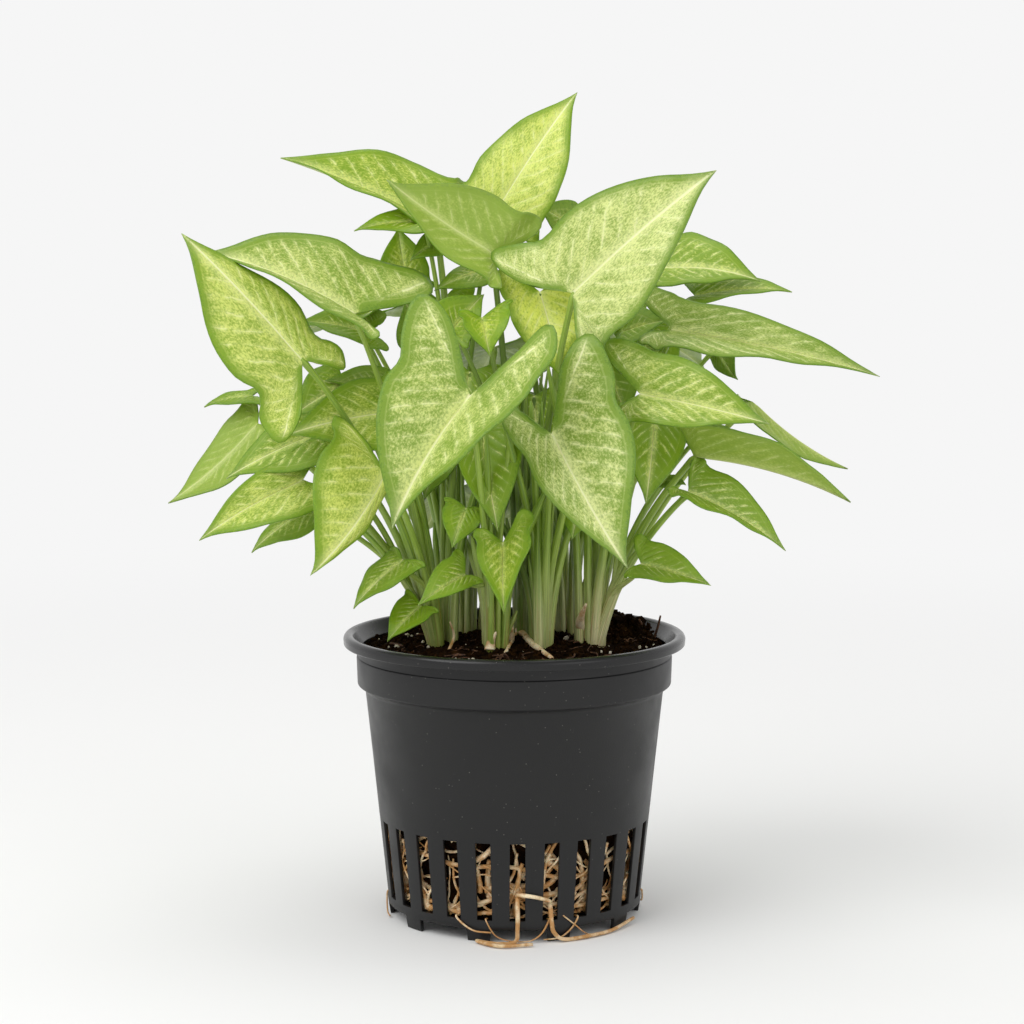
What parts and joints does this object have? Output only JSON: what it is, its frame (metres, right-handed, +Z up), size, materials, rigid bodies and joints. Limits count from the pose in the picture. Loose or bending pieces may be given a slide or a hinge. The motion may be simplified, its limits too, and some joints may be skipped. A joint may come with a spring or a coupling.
{
  "type": "potted arrowhead plant",
  "caption": "Arrowhead house plant with pale-veined arrow-shaped leaves on sheathed stalks, standing in a dark slotted nursery pot.",
  "frame": {"origin": "middle of the pot's underside, on the surface it stands on", "axes": "+Z up along the pot's axis, -Y towards the viewer, +X to the viewer's right"},
  "size_m": [0.2638, 0.1793, 0.3122],
  "materials": {
    "pot_plastic": "injection-moulded, matte charcoal",
    "peat": "damp dark peat with perlite crumbs",
    "root": "pale dry root",
    "leaf_mature": "waxy green with pale veins",
    "leaf_young": "waxy yellow-lime",
    "stalk": "smooth pale green, cream at the foot"
  },
  "bodies": {
    "root": {"pot": "pot_plastic", "soil": "peat", "roots": "root", "shoot_left": "leaf_mature", "shoot_front": "leaf_mature", "shoot_front_right": "leaf_mature", "shoot_right": "leaf_mature", "shoot_centre": "leaf_young", "shoot_rear_left": "leaf_mature", "shoot_rear_right": "leaf_mature"}
  },
  "joints": []
}
